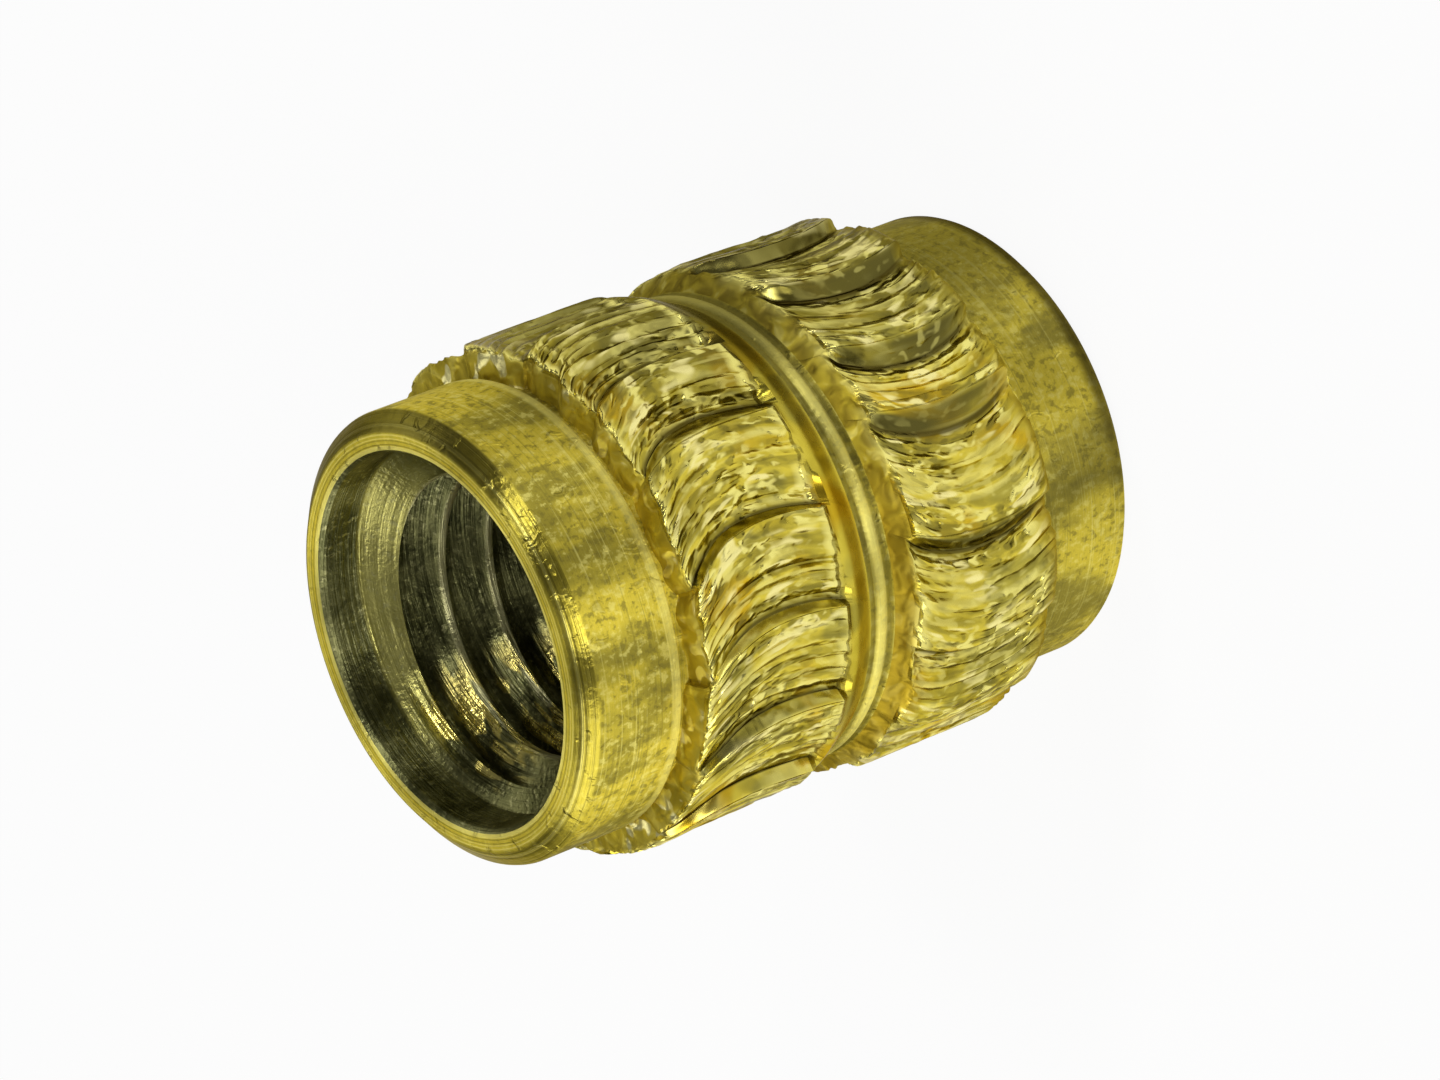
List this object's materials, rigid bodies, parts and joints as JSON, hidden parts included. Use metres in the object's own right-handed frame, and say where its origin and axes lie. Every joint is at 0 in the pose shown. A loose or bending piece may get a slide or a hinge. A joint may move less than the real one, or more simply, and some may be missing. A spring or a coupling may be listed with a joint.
{
  "type": "threaded insert",
  "caption": "Short brass threaded insert with plain end collars, raised bands of crescent barbs parted by a groove, and a counterbored mouth.",
  "frame": {"origin": "centre of the tail face", "axes": "+Z along the thread axis, from the tail face towards the mouth; +X and +Y across it, with a barb of the band next to the mouth facing -Y"},
  "size_m": [0.0074, 0.0073, 0.0095],
  "materials": {
    "brass": "turned collars, coarse cut barbs"
  },
  "bodies": {
    "root": {"threaded_insert": "brass"}
  },
  "joints": []
}
